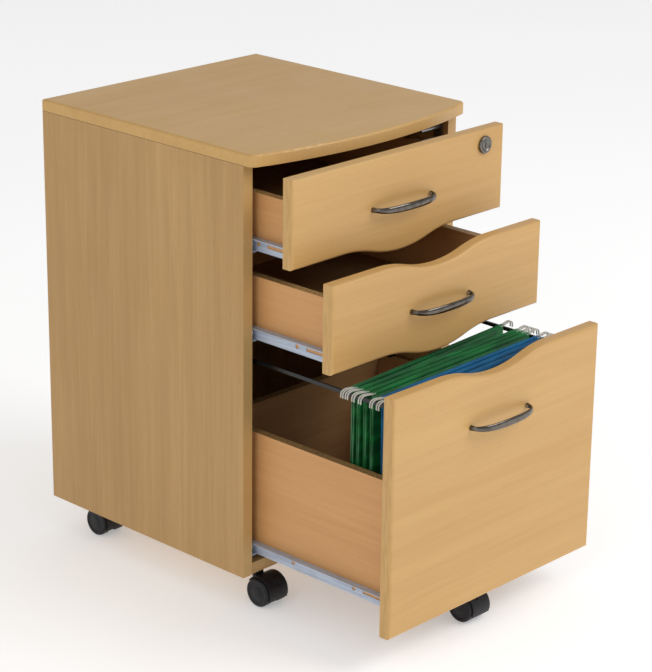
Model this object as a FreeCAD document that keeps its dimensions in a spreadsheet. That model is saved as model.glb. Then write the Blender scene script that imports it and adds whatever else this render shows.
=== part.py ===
import FreeCAD, Part
import Sketcher
import os
import re

# Three-drawer mobile pedestal. Millimetres, +Z up, +X to the right seen from the front, the front
# faces -Y. The origin lies on the floor, in line with the back face and on the middle plane.
# The drawers rest partly open.

DIMENSIONS = [
    # carcass
    ("cab_width", 404, "width over the side panels"),
    ("board", 16, "thickness of the carcass boards"),
    ("side_depth", 387, "depth of the side panels"),
    ("body_height", 580, "height from the underside of the panels to the top surface"),
    ("castor_height", 50, "height of a castor under the carcass"),
    ("back_thickness", 16, "thickness of the back panel"),
    ("bottom_setback", 1.5, "how far the bottom panel stands behind the side panels' edges"),
    # top panel
    ("top_thickness", 16, "thickness of the top panel"),
    ("top_side_depth", 402, "depth of the top panel at its sides"),
    ("top_bow", 28, "how far the middle of the front edge bows out"),
    ("top_corner_radius", 10, "plan radius of the top panel's front corners"),
    ("top_edge_radius", 3, "rounding along the top panel's upper edge"),
    # drawer fronts, shut behind front_gap
    ("front_width", 403, "width of a drawer front"),
    ("front_thickness", 16, "thickness of a drawer front"),
    ("front_gap", 2, "gap between a shut front and the side panels' edges"),
    ("top_gap", 2, "gap over the uppermost front"),
    ("between_gap", 3, "gap between two fronts"),
    ("shallow_front", 116.5, "height of the two upper fronts at their ends"),
    ("file_front", 322, "height of the lowest front at its ends"),
    ("wave_reach", 106, "half the width of the wave in a front's edge"),
    ("wave_depth", 15.5, "depth of the wave"),
    ("front_edge_radius", 4, "rounding of a front's outer edges"),
    # how far each drawer stands open at rest
    ("open_1", 67, "opening of the top drawer"),
    ("open_2", 137, "opening of the middle drawer"),
    ("open_3", 241, "opening of the file drawer"),
    # drawer boxes
    ("runner_space", 12.5, "space for the runners on each side of a drawer box"),
    ("box_depth", 350, "length of the drawer boxes and runners"),
    ("box_side", 12, "thickness of the box boards"),
    ("box_rise", 2, "how far the two upper boxes stand above their fronts' straight edge"),
    ("file_box_rise", 26, "the same for the file drawer"),
    ("box_height_1", 75, "height of the top drawer's sides"),
    ("box_height_2", 84, "height of the middle drawer's sides"),
    ("box_height_3", 171, "height of the file drawer's sides"),
    ("base_thickness", 4, "thickness of a drawer's bottom sheet"),
    ("base_rise", 8, "height of the bottom sheet over the sides' lower edges"),
    ("groove_depth", 4, "depth of the groove that holds the bottom sheet"),
    ("back_drop", 8, "how far a drawer's back ends below its sides"),
    # roller runners
    ("steel", 1, "thickness of the runner steel"),
    ("runner_height", 16.9, "height of the drawer profile over the box's lower edge"),
    ("runner_lip", 10, "width of the drawer profile's lip"),
    ("under_flange", 11, "width of the flange under the box side"),
    ("roller_radius", 7, "radius of the nylon rollers"),
    ("roller_width", 6, "width of the nylon rollers"),
    ("rolling_gap", 0.3, "clearance between a roller and its track"),
    ("side_gap", 0.8, "clearance beside a roller"),
    ("pin_radius", 2.5, "radius of a roller pin"),
    ("running_fit", 0.05, "radial clearance of a shaft in its bore"),
    ("front_roller_inset", 14, "distance from the carcass edge to the front rollers"),
    ("rear_roller_inset", 12, "distance from a box's end to the rear rollers"),
    ("runner_inset", 2, "distance from the carcass edge to the cabinet profiles"),
    ("runner_hole", 3.2, "radius of the holes in the drawer profiles"),
    ("slot_start", 6, "distance of a drawer profile's slot from its front end"),
    ("slot_length", 48, "length of that slot"),
    ("track_gap", 1.3, "gap between a cabinet profile's track and the drawer profile"),
    ("roof_start", 5, "room between the front roller and the cabinet profile's upper flange"),
    # screws
    ("screw_radius", 1.8, "radius of a wood screw"),
    ("screw_length", 11, "length of a wood screw in the board"),
    ("screw_head", 3.4, "radius of a wood screw's head"),
    ("screw_head_height", 1.4, "height of a wood screw's head"),
    # cam fittings
    ("cam_radius", 7.5, "radius of a cam fitting"),
    ("cam_depth", 12.5, "depth of a cam fitting"),
    ("cam_edge", 24, "distance of a cam fitting from the board's end"),
    ("cam_inset", 110, "distance of the cam fittings from the front and back"),
    # handles
    ("handle_length", 118, "length of a handle over its feet"),
    ("handle_reach", 24, "how far a handle stands out"),
    ("handle_thickness", 5, "thickness of a handle's bow"),
    ("handle_foot", 12, "width of a handle's foot"),
    ("handle_height", 11, "height of a handle's bow"),
    ("handle_rounding", 2, "rounding of a handle's edges"),
    ("handle_drop", 67, "handle below the front's straight top edge"),
    ("handle_drop_3", 76, "the same on the file drawer"),
    ("bolt_radius", 2, "radius of a handle screw"),
    ("bolt_depth", 5, "length of a handle screw inside the foot"),
    ("bolt_head", 4, "radius of a handle screw's head"),
    ("bolt_head_height", 2.4, "height of a handle screw's head"),
    # lock in the top drawer's front
    ("lock_side", 161, "distance of the lock from the middle plane"),
    ("lock_drop", 39.3, "lock below the top surface"),
    ("lock_rim", 12, "radius of the lock's rim"),
    ("lock_rim_height", 4, "how far the rim stands out"),
    ("lock_body", 9, "radius of the lock's barrel"),
    ("lock_tail", 8, "length of the barrel behind the front"),
    ("plug_radius", 6.5, "radius of the turning plug"),
    ("key_slot", 1.6, "width of the keyhole"),
    ("key_height", 9, "height of the keyhole"),
    ("key_depth", 8, "depth of the keyhole"),
    ("lock_rim_slope", 2, "how much narrower the rim is at its front"),
    ("cam_disc", 9.5, "radius of the disc on the plug's end"),
    ("cam_disc_height", 3, "thickness of that disc"),
    ("crank", 6, "offset of the lock's pin from the plug's axis"),
    ("crank_pin", 2.5, "radius of the lock's pin"),
    ("crank_pin_length", 13, "length of the lock's pin"),
    # gang-lock bar in the right side panel
    ("bar_inset", 16, "distance from the carcass edge to the lock bar's middle"),
    ("bar_width", 14, "width of the lock bar"),
    ("bar_thickness", 3, "thickness of the lock bar"),
    ("bar_clearance", 0.6, "clearance of the lock bar in its groove"),
    ("bar_foot", 24, "height of the groove's lower end over the bottom panel's top"),
    ("bar_length", 508, "length of the lock bar"),
    ("prong_radius", 2.5, "radius of the fork's two prongs"),
    ("prong_spread", 7.5, "distance of a prong from the fork's middle"),
    ("prong_length", 38, "reach of the prongs over the drawer"),
    ("lug_reach", 8, "reach of a locking lug"),
    ("lug_height", 8, "height of a locking lug"),
    ("lug_step", 2, "how far a lug stands behind the bar's rear edge"),
    ("lug_rise", 19, "lug over the box's lower edge"),
    ("catch_radius", 3, "radius of a drawer's catch pin"),
    ("catch_reach", 8.5, "reach of a catch pin beside the box"),
    ("catch_depth", 8, "depth of a catch pin in the box side"),
    ("catch_rise", 33, "catch pin over the box's lower edge"),
    ("guide_height", 12, "height of a guide strap"),
    ("guide_width", 34, "width of a guide strap"),
    ("guide_clearance", 3, "room between a raised lug and the guide over it"),
    # hanging rails for suspension files
    ("rail_spacing", 330, "distance between the two rails, middle to middle"),
    ("rail_thickness", 3, "thickness of a rail"),
    ("rail_height", 5, "height of a rail"),
    ("rail_drop", 285, "rail's upper edge below the top surface"),
    ("rail_foot", 2, "thickness of a rail's tab and foot"),
    ("rail_post", 16, "width of a rail's rear post"),
    # suspension files
    ("file_thickness", 3, "thickness of one closed suspension file"),
    ("file_height", 232, "height of a file under the rails"),
    ("file_width", 316, "width of a file between the rails"),
    ("file_bar", 362, "length of a file's hanging bar"),
    ("file_bar_height", 7, "height of a hanging bar over the rails"),
    ("file_hook", 5, "width of a bar's hook"),
    # castors
    ("castor_side", 157, "distance of a castor's stem from the middle plane"),
    ("front_castor_inset", 18, "distance of the front stems from the carcass edge"),
    ("rear_castor_inset", 43, "distance of the rear stems from the back face"),
    ("trail", 18, "distance from a stem to its axle"),
    ("wheel_radius", 20, "radius of a wheel"),
    ("wheel_inner", 8, "distance of a wheel's inner face from the middle"),
    ("wheel_outer", 20.5, "distance of a wheel's outer face from the middle"),
    ("wheel_bevel", 3, "bevel of a wheel's outer rim"),
    ("axle_radius", 3, "radius of an axle"),
    ("axle_half", 15, "half the length of an axle"),
    ("hood_gap", 0.6, "clearance between a wheel and the hood"),
    ("hood_wall", 1.9, "thickness of the hood"),
    ("hood_half", 17, "half the width of the hood"),
    ("web_half", 7.5, "half the width of the hood's web"),
    ("hood_skirt", 11, "height of the hood's front edge over the floor"),
    ("stem_radius", 5, "radius of a stem in the hood"),
    ("stem_flange", 8, "radius of a stem's flange"),
    ("stem_flange_height", 2, "thickness of a stem's flange"),
    ("stem_bolt", 4, "radius of a stem's threaded end"),
    ("stem_bolt_length", 12, "length of a stem's threaded end"),
    ("stem_sink", 26, "length of a stem in the hood"),
    # bracket of the fifth castor
    ("bracket_half", 28, "half the width of the bracket"),
    ("bracket_depth", 66, "depth of the bracket"),
    ("bracket_plate", 3, "thickness of the bracket"),
    ("bracket_stem", 41, "distance of the fifth stem behind the front"),
    ("notch_clearance", 7, "clearance around the bracket in the bottom panel"),
    # general clearance between pieces of different bodies
    ("clearance", 0.3, "clearance between neighbours that move"),
]

ALIASES = {alias for alias, number, meaning in DIMENSIONS}
NUMBER = {alias: float(number) for alias, number, meaning in DIMENSIONS}

doc = FreeCAD.newDocument("Pedestal")
sheet = doc.addObject("Spreadsheet::Sheet", "Size")
for row, (alias, number, meaning) in enumerate(DIMENSIONS, start=1):
    sheet.set(f"A{row}", meaning)
    sheet.set(f"B{row}", str(number))
    sheet.setAlias(f"B{row}", alias)
doc.recompute()

# Formulas for planes that several pieces share.
SIDE_OUT = "(cab_width/2)"
SIDE_IN = "(cab_width/2 - board)"
FLOOR_OF_CARCASS = "castor_height"
SIDE_TOP = "(castor_height + body_height - top_thickness)"
TOP = "(castor_height + body_height)"
BOX_OUT = "(cab_width/2 - board - runner_space)"
BOX_IN = f"({BOX_OUT} - box_side)"
EDGE = "(-side_depth)"
LOCK_HEIGHT = f"({TOP} - lock_drop)"
BAR_MIDDLE = f"({EDGE} + bar_inset)"
FORK_HEIGHT = f"({LOCK_HEIGHT} - crank)"

# The straight lower edge of each front, from the top one down.
FRONT_LOW = {1: f"({SIDE_TOP} - top_gap - shallow_front)"}
FRONT_LOW[2] = f"({FRONT_LOW[1]} - between_gap - shallow_front)"
FRONT_LOW[3] = f"({FRONT_LOW[2]} - between_gap - file_front)"
FRONT_HEIGHT = {1: "shallow_front", 2: "shallow_front", 3: "file_front"}
BOX_LOW = {
    1: f"({FRONT_LOW[1]} + box_rise)",
    2: f"({FRONT_LOW[2]} + box_rise)",
    3: f"({FRONT_LOW[3]} + file_box_rise)",
}
BOX_HIGH = {n: f"({BOX_LOW[n]} + box_height_{n})" for n in (1, 2, 3)}
FRONT_BACK = {n: f"(-(side_depth + front_gap + open_{n}))" for n in (1, 2, 3)}
BOX_END = {n: f"({FRONT_BACK[n]} + box_depth)" for n in (1, 2, 3)}

# Places along the runners, in millimetres from their front ends.
WOOD_SCREW_PLACES = (40, 170, 300)
RUNNER_HOLE_PLACES = (70, 178, 286)

# Distances of the suspension files behind the file drawer's front.
FILE_PLACES = (36, 46, 64, 74, 84, 103)

# A catch pin stands just behind the lugs of the lock bar when its drawer is shut.
CATCH_ALONG = "(front_gap + bar_inset + bar_width/2 + catch_radius - lug_step/2)"

finished = []


def formula(text):
    """Point every size named in a formula at the spreadsheet."""
    def link(match):
        word = match.group(0)
        return "Size." + word if word in ALIASES else word
    return re.sub(r"[A-Za-z_][A-Za-z_0-9]*", link, str(text))


def bind(item, name, text):
    item.setExpression(name, formula(text))


def locate(item, x, y, z):
    """Bind a piece's place to three formulas."""
    bind(item, "Placement.Base.x", x)
    bind(item, "Placement.Base.y", y)
    bind(item, "Placement.Base.z", z)


def finish(item, label):
    """Give a sub-part its name and put it on the list that is written out."""
    item.Label = label
    finished.append(item)
    return item


def block(x, y, z):
    """A box between a low and a high formula on each axis."""
    box = doc.addObject("Part::Box", "Block")
    bind(box, "Length", f"({x[1]}) - ({x[0]})")
    bind(box, "Width", f"({y[1]}) - ({y[0]})")
    bind(box, "Height", f"({z[1]}) - ({z[0]})")
    locate(box, x[0], y[0], z[0])
    return box


def centred(middle, half):
    """The low and high formulas of a span about its middle."""
    return (f"({middle}) - ({half})", f"({middle}) + ({half})")


TURNS = {
    "X": FreeCAD.Rotation(FreeCAD.Vector(0, 1, 0), 90),
    "Y": FreeCAD.Rotation(FreeCAD.Vector(1, 0, 0), -90),
    "Z": FreeCAD.Rotation(),
}


def rod(axis, radius, x, y, z, length):
    """A cylinder from a point along the positive X, Y or Z axis."""
    cylinder = doc.addObject("Part::Cylinder", "Rod")
    cylinder.Placement = FreeCAD.Placement(FreeCAD.Vector(), TURNS[axis])
    bind(cylinder, "Radius", radius)
    bind(cylinder, "Height", length)
    locate(cylinder, x, y, z)
    return cylinder


def cone(axis, radius_low, radius_high, x, y, z, length):
    """A truncated cone from a point along the positive X, Y or Z axis."""
    solid = doc.addObject("Part::Cone", "Cone")
    solid.Placement = FreeCAD.Placement(FreeCAD.Vector(), TURNS[axis])
    bind(solid, "Radius1", radius_low)
    bind(solid, "Radius2", radius_high)
    bind(solid, "Height", length)
    locate(solid, x, y, z)
    return solid


def group(solids):
    """Separate solids kept together."""
    compound = doc.addObject("Part::Compound", "Group")
    compound.Links = solids
    return compound


def join(solids):
    fuse = doc.addObject("Part::MultiFuse", "Join")
    fuse.Shapes = solids
    return fuse


def cut(base, tools):
    """Take one or more tools away from a solid."""
    result = doc.addObject("Part::Cut", "Cut")
    result.Base = base
    result.Tool = tools[0] if len(tools) == 1 else join(tools)
    return result


def sketch_on(body, role):
    """A sketch on one of a body's own origin planes."""
    sketch = body.newObject("Sketcher::SketchObject", "Outline")
    plane = [feature for feature in body.Origin.OriginFeatures if feature.Role == role][0]
    sketch.AttachmentSupport = [(plane, "")]
    sketch.MapMode = "FlatFace"
    return sketch


def size_constraint(sketch, text, *constraint):
    """Add a dimension to a sketch and bind it to a formula."""
    index = sketch.addConstraint(Sketcher.Constraint(*constraint))
    bind(sketch, f"Constraints[{index}]", text)


def edge_names(shape, wanted):
    """The names of the edges of a shape that pass a test."""
    return [f"Edge{i}" for i, edge in enumerate(shape.Edges, start=1) if wanted(edge)]


def all_at(edge, axis, place):
    """Whether both ends of an edge lie in one plane across an axis."""
    return all(abs(getattr(vertex.Point, axis) - place) < 1e-4 for vertex in edge.Vertexes)


def fillet(body, base, radius, wanted):
    """Round the edges of a body's feature that pass a test."""
    doc.recompute()
    rounding = body.newObject("PartDesign::Fillet", "Rounding")
    rounding.Base = (base, edge_names(base.Shape, wanted))
    bind(rounding, "Radius", radius)
    doc.recompute()
    return rounding


# ---------------------------------------------------------------- carcass

def top_panel():
    """The top: straight sides and back, and a front edge that bows out."""
    body = doc.addObject("PartDesign::Body", "TopPanel")
    sketch = sketch_on(body, "XY_Plane")
    half = NUMBER["cab_width"] / 2
    depth = NUMBER["top_side_depth"]
    bow = NUMBER["top_bow"]
    corners = [(half, 0), (-half, 0), (-half, -depth), (half, -depth)]
    points = [FreeCAD.Vector(x, y, 0) for x, y in corners]
    back = sketch.addGeometry(Part.LineSegment(points[0], points[1]))
    left = sketch.addGeometry(Part.LineSegment(points[1], points[2]))
    tip = FreeCAD.Vector(0, -depth - bow, 0)
    front = sketch.addGeometry(Part.Arc(points[2], tip, points[3]))
    right = sketch.addGeometry(Part.LineSegment(points[3], points[0]))
    for first, first_end, second, second_end in (
            (back, 2, left, 1), (left, 2, front, 1), (front, 2, right, 1), (right, 2, back, 1)):
        sketch.addConstraint(Sketcher.Constraint("Coincident", first, first_end, second, second_end))
    sketch.addConstraint(Sketcher.Constraint("Vertical", left))
    sketch.addConstraint(Sketcher.Constraint("Vertical", right))
    sketch.addConstraint(Sketcher.Constraint("Symmetric", back, 1, back, 2, -1, 1))
    sketch.addConstraint(Sketcher.Constraint("Equal", left, right))
    size_constraint(sketch, "cab_width", "Distance", back, 2 * half)
    size_constraint(sketch, "top_side_depth", "Distance", left, depth)
    radius = (half ** 2 + bow ** 2) / (2 * bow)
    size_constraint(sketch, "((cab_width/2)^2 + top_bow^2)/(2*top_bow)", "Radius", front, radius)
    pad = body.newObject("PartDesign::Pad", "Board")
    pad.Profile = sketch
    bind(pad, "Length", "top_thickness")
    upright = lambda edge: (not all_at(edge, "z", edge.Vertexes[0].Z)) and edge.Vertexes[0].Y < -1
    corner = fillet(body, pad, "top_corner_radius", upright)
    fillet(body, corner, "top_edge_radius", lambda edge: all_at(edge, "z", NUMBER["top_thickness"]))
    locate(body, 0, 0, SIDE_TOP)
    finish(body, "top_panel")


def wood_screw(side, y, z, from_face):
    """A pan-head screw that goes outwards into a side panel, and the hole it needs."""
    sign = 1 if side == "right" else -1
    face = f"({SIDE_IN} - {from_face})"
    if sign > 0:
        head_start = f"{face} - screw_head_height"
        shank_start = face
    else:
        head_start = f"-{face}"
        shank_start = f"-{face} - screw_length"
    head = rod("X", "screw_head", head_start, y, z, "screw_head_height")
    shank = rod("X", "screw_radius", shank_start, y, z, "screw_length")
    hole = rod("X", "screw_radius", shank_start, y, z, "screw_length")
    return join([head, shank]), hole


def runner_screw_rows():
    """Where the cabinet runners are screwed to a side panel."""
    for n in (1, 2, 3):
        for along in WOOD_SCREW_PLACES:
            yield f"{EDGE} + runner_inset + {along}", f"{BOX_LOW[n]} + runner_height/2 - steel"


def guide_rows():
    """The heights of the two straps that hold the lock bar in its groove."""
    raised_lug = "lug_rise + lug_height + 2*crank"
    return [f"{BOX_LOW[n]} + {raised_lug} + guide_clearance + guide_height/2" for n in (1, 3)]


def side_panels():
    """Both side panels, drilled for the runner screws and cam fittings."""
    screws = []
    cams = []
    for side, sign in (("left", -1), ("right", 1)):
        x = (SIDE_IN, SIDE_OUT) if sign > 0 else (f"-{SIDE_OUT}", f"-{SIDE_IN}")
        panel = block(x, (EDGE, "0"), (FLOOR_OF_CARCASS, SIDE_TOP))
        holes = []
        for y, z in runner_screw_rows():
            screw, hole = wood_screw(side, y, z, "steel")
            screws.append(screw)
            holes.append(hole)
        if side == "right":
            holes.append(block(
                (SIDE_IN, f"{SIDE_IN} + bar_thickness + bar_clearance"),
                centred(BAR_MIDDLE, "bar_width/2 + bar_clearance"),
                (f"{FLOOR_OF_CARCASS} + board + bar_foot", SIDE_TOP)))
            for z in guide_rows():
                for way in ("-", "+"):
                    y = f"{BAR_MIDDLE} {way} (guide_width/2 - screw_head - 1)"
                    screw, hole = wood_screw(side, y, z, "steel")
                    screws.append(screw)
                    holes.append(hole)
        for y in ("-cam_inset", f"{EDGE} + cam_inset"):
            start = SIDE_IN if sign > 0 else f"-{SIDE_IN} - cam_depth"
            z = f"{SIDE_TOP} - cam_edge"
            cams.append(rod("X", "cam_radius", start, y, z, "cam_depth"))
            holes.append(rod("X", "cam_radius", start, y, z, "cam_depth"))
        finish(cut(panel, holes), f"{side}_side_panel")
    finish(group(screws), "runner_screws")
    return cams


def back_panel():
    panel = block((f"-{SIDE_IN}", SIDE_IN), ("-back_thickness", "0"), (FLOOR_OF_CARCASS, SIDE_TOP))
    finish(panel, "back_panel")


def castor_places():
    """The stems' places of the four castors under the carcass."""
    return {
        1: ("-castor_side", f"{EDGE} + front_castor_inset"),
        2: ("castor_side", f"{EDGE} + front_castor_inset"),
        3: ("-castor_side", "-rear_castor_inset"),
        4: ("castor_side", "-rear_castor_inset"),
    }


def bottom_panel(cams):
    """The bottom board, with its cam fittings, stem holes and the notch for the fifth castor."""
    front = f"({EDGE} + bottom_setback)"
    panel = block((f"-{SIDE_IN}", SIDE_IN), (front, "-back_thickness"),
                  (FLOOR_OF_CARCASS, f"{FLOOR_OF_CARCASS} + board"))
    notch_end = f"{EDGE} - front_gap + bracket_depth + notch_clearance"
    holes = [block(centred("0", "bracket_half + notch_clearance"), (f"{front} - 1", notch_end),
                   (f"{FLOOR_OF_CARCASS} - 1", f"{FLOOR_OF_CARCASS} + board + 1"))]
    for x, y in castor_places().values():
        holes.append(rod("Z", "stem_bolt", x, y, FLOOR_OF_CARCASS, "stem_bolt_length"))
    for way in ("-", ""):
        for y in ("-cam_inset", f"{EDGE} + cam_inset"):
            x = f"{way}({SIDE_IN} - cam_edge)"
            cams.append(rod("Z", "cam_radius", x, y, FLOOR_OF_CARCASS, "cam_depth"))
            holes.append(rod("Z", "cam_radius", x, y, FLOOR_OF_CARCASS, "cam_depth"))
    finish(cut(panel, holes), "bottom_panel")
    finish(group(cams), "cam_fittings")


# ---------------------------------------------------------------- runners

ROLLER_AXIS_FRONT = {n: f"({BOX_LOW[n]} + runner_height - steel - rolling_gap - roller_radius)"
                     for n in (1, 2, 3)}
ROLLER_AXIS_REAR = {n: f"({BOX_LOW[n]} + rolling_gap + roller_radius)" for n in (1, 2, 3)}
FRONT_ROLLER_Y = f"({EDGE} + front_roller_inset)"
REAR_ROLLER_Y = {n: f"({BOX_END[n]} - rear_roller_inset)" for n in (1, 2, 3)}
WEB_FACE = f"({SIDE_IN} - steel)"
FRONT_ROLLER_IN = f"({WEB_FACE} - side_gap - roller_width)"
REAR_ROLLER_IN = f"({BOX_OUT} + steel + side_gap)"


def span(sign, low, high):
    """A span on the right side, or its mirror image on the left."""
    return (low, high) if sign > 0 else (f"-({high})", f"-({low})")


def cabinet_runner(sign, n):
    """A channel screwed to the side panel, open at its front end for the front roller."""
    start = f"{EDGE} + runner_inset"
    end = f"{EDGE} + runner_inset + box_depth"
    low = BOX_LOW[n]
    web = block(span(sign, WEB_FACE, SIDE_IN), (start, end),
                (f"{low} - steel", f"{low} + runner_height - steel - rolling_gap"))
    track = block(span(sign, f"{BOX_OUT} + steel + track_gap", WEB_FACE), (start, end),
                  (f"{low} - steel", low))
    roof_low = f"{low} + 2*(roller_radius + rolling_gap)"
    roof = block(span(sign, f"{BOX_OUT} + steel + side_gap + roller_width/2", WEB_FACE),
                 (f"{FRONT_ROLLER_Y} + roller_radius + roof_start", end), (roof_low, f"{roof_low} + steel"))
    pin_start = f"{FRONT_ROLLER_IN} - side_gap/2"
    pin_length = f"{WEB_FACE} - ({pin_start})"
    pin_x = pin_start if sign > 0 else f"-{WEB_FACE}"
    pin = rod("X", "pin_radius", pin_x, FRONT_ROLLER_Y, ROLLER_AXIS_FRONT[n], pin_length)
    profile = join([web, track, roof, pin])
    holes = []
    for along in WOOD_SCREW_PLACES:
        x = WEB_FACE if sign > 0 else f"-{SIDE_IN}"
        holes.append(rod("X", "screw_radius", x, f"{EDGE} + runner_inset + {along}",
                         f"{low} + runner_height/2 - steel", "steel"))
    return cut(profile, holes)


def drawer_runner(sign, n):
    """The profile under a box side: an angle with a lip that rolls on the front roller."""
    low = BOX_LOW[n]
    ends = (FRONT_BACK[n], BOX_END[n])
    web = block(span(sign, BOX_OUT, f"{BOX_OUT} + steel"), ends,
                (f"{low} - steel", f"{low} + runner_height"))
    flange = block(span(sign, f"{BOX_OUT} - under_flange", BOX_OUT), ends, (f"{low} - steel", low))
    lip = block(span(sign, f"{BOX_OUT} + steel", f"{BOX_OUT} + runner_lip"), ends,
                (f"{low} + runner_height - steel", f"{low} + runner_height"))
    pin_length = "side_gap + roller_width + side_gap/2"
    pin_x = f"{BOX_OUT} + steel" if sign > 0 else f"-({BOX_OUT} + steel + {pin_length})"
    pin = rod("X", "pin_radius", pin_x, REAR_ROLLER_Y[n], ROLLER_AXIS_REAR[n], pin_length)
    holes = []
    hole_x = BOX_OUT if sign > 0 else f"-{BOX_OUT} - steel"
    middle = f"{low} + runner_height/2"
    for along in RUNNER_HOLE_PLACES:
        holes.append(rod("X", "runner_hole", hole_x, f"{FRONT_BACK[n]} + {along}", middle, "steel"))
    slot = (f"{FRONT_BACK[n]} + slot_start", f"{FRONT_BACK[n]} + slot_start + slot_length")
    holes.append(block(span(sign, BOX_OUT, f"{BOX_OUT} + steel"), slot,
                       centred(middle, "runner_hole - 1")))
    return cut(join([web, flange, lip, pin]), holes)


def roller(start, y, z):
    """A nylon roller with its bore, from a start along X."""
    wheel = rod("X", "roller_radius", start, y, z, "roller_width")
    bore = rod("X", "pin_radius + running_fit", f"{start} - 1", y, z, "roller_width + 2")
    return cut(wheel, [bore])


def runners():
    """Cabinet profiles, drawer profiles and the two pairs of rollers of each drawer."""
    for side, sign in (("left", -1), ("right", 1)):
        finish(group([cabinet_runner(sign, n) for n in (1, 2, 3)]), f"{side}_cabinet_runners")
    for n in (1, 2, 3):
        finish(group([drawer_runner(-1, n), drawer_runner(1, n)]), f"drawer_{n}_runners")
        front = [roller(FRONT_ROLLER_IN, FRONT_ROLLER_Y, ROLLER_AXIS_FRONT[n]),
                 roller(f"-{FRONT_ROLLER_IN} - roller_width", FRONT_ROLLER_Y, ROLLER_AXIS_FRONT[n])]
        finish(group(front), f"front_rollers_{n}")
        rear = [roller(REAR_ROLLER_IN, REAR_ROLLER_Y[n], ROLLER_AXIS_REAR[n]),
                roller(f"-{REAR_ROLLER_IN} - roller_width", REAR_ROLLER_Y[n], ROLLER_AXIS_REAR[n])]
        finish(group(rear), f"rear_rollers_{n}")


# ---------------------------------------------------------------- lock

def lock_bar():
    """The upright bar that locks all drawers, with its fork, and the straps that hold it."""
    strip_x = (f"{SIDE_IN} + bar_clearance/2", f"{SIDE_IN} + bar_clearance/2 + bar_thickness")
    foot = f"({FLOOR_OF_CARCASS} + board + bar_foot + clearance)"
    width = centred(BAR_MIDDLE, "bar_width/2")
    strip = block(strip_x, width, (foot, f"{foot} + bar_length"))
    head = block((f"{SIDE_IN} - bar_thickness", f"{SIDE_IN} + bar_clearance/2"), width,
                 centred(FORK_HEIGHT, "prong_spread + 2*prong_radius"))
    pieces = [strip, head]
    for way in ("-", "+"):
        pieces.append(rod("X", "prong_radius", f"{SIDE_IN} - prong_length", BAR_MIDDLE,
                          f"{FORK_HEIGHT} {way} prong_spread", "prong_length"))
    for n in (1, 2, 3):
        low = f"{BOX_LOW[n]} + lug_rise"
        pieces.append(block((f"{SIDE_IN} - lug_reach", f"{SIDE_IN} + bar_clearance/2"),
                            (f"{BAR_MIDDLE} - bar_width/2", f"{BAR_MIDDLE} + bar_width/2 - lug_step"),
                            (low, f"{low} + lug_height")))
    finish(join(pieces), "lock_bar")
    straps = []
    for z in guide_rows():
        strap = block((WEB_FACE, SIDE_IN), centred(BAR_MIDDLE, "guide_width/2"),
                      centred(z, "guide_height/2"))
        holes = []
        for way in ("-", "+"):
            y = f"{BAR_MIDDLE} {way} (guide_width/2 - screw_head - 1)"
            holes.append(rod("X", "screw_radius", WEB_FACE, y, z, "steel"))
        straps.append(cut(strap, holes))
    finish(group(straps), "lock_bar_guides")


def drawer_lock():
    """Barrel with its rim, and the turning plug with the cranked pin on its end."""
    face = f"({FRONT_BACK[1]} - front_thickness)"
    tail = f"({FRONT_BACK[1]} + lock_tail)"
    barrel = rod("Y", "lock_body", "lock_side", face, LOCK_HEIGHT, "front_thickness + lock_tail")
    rim = cone("Y", "lock_rim - lock_rim_slope", "lock_rim", "lock_side", f"{face} - lock_rim_height", LOCK_HEIGHT,
               "lock_rim_height")
    bore = rod("Y", "plug_radius + running_fit", "lock_side", f"{face} - lock_rim_height - 1",
               LOCK_HEIGHT, "front_thickness + lock_tail + lock_rim_height + 2")
    finish(cut(join([barrel, rim]), [bore]), "lock_housing")
    plug_start = f"{face} - lock_rim_height + 1"
    plug = rod("Y", "plug_radius", "lock_side", plug_start, LOCK_HEIGHT,
               "front_thickness + lock_tail + lock_rim_height - 1 + clearance")
    keyhole = block(centred("lock_side", "key_slot/2"), (f"{plug_start} - 1", f"{plug_start} + key_depth"),
                    centred(LOCK_HEIGHT, "key_height/2"))
    disc = rod("Y", "cam_disc", "lock_side", f"{tail} + clearance", LOCK_HEIGHT, "cam_disc_height")
    pin = rod("Y", "crank_pin", "lock_side", f"{tail} + clearance + cam_disc_height", FORK_HEIGHT,
              "crank_pin_length")
    finish(group([cut(plug, [keyhole]), join([disc, pin])]), "lock_plug")


# ---------------------------------------------------------------- drawers

def wave_edge(sketch, height):
    """Draw a straight edge with a wave of three equal arcs in its middle, left to right.

    The two outer arcs are half as wide as the middle one, and each is tangent to the next.
    """
    half = NUMBER["front_width"] / 2
    reach = NUMBER["wave_reach"]
    depth = NUMBER["wave_depth"]
    radius = (reach ** 2 + depth ** 2) / (4 * depth)
    quarter = FreeCAD.Vector(reach / 2, height - depth / 2, 0)
    along = reach / 4
    sag = radius - (radius ** 2 - along ** 2) ** 0.5
    first = FreeCAD.Vector(-reach, height, 0)
    second = FreeCAD.Vector(-reach / 2, height - depth / 2, 0)
    last = FreeCAD.Vector(reach, height, 0)
    on_left = FreeCAD.Vector(-reach + along, height - sag, 0)
    on_right = FreeCAD.Vector(reach - along, height - sag, 0)
    bottom = FreeCAD.Vector(0, height - depth, 0)
    left = sketch.addGeometry(Part.LineSegment(FreeCAD.Vector(-half, height, 0), first))
    fall = sketch.addGeometry(Part.Arc(first, on_left, second))
    middle = sketch.addGeometry(Part.Arc(second, bottom, quarter))
    rise = sketch.addGeometry(Part.Arc(quarter, on_right, last))
    right = sketch.addGeometry(Part.LineSegment(last, FreeCAD.Vector(half, height, 0)))
    return left, fall, middle, rise, right


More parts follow.
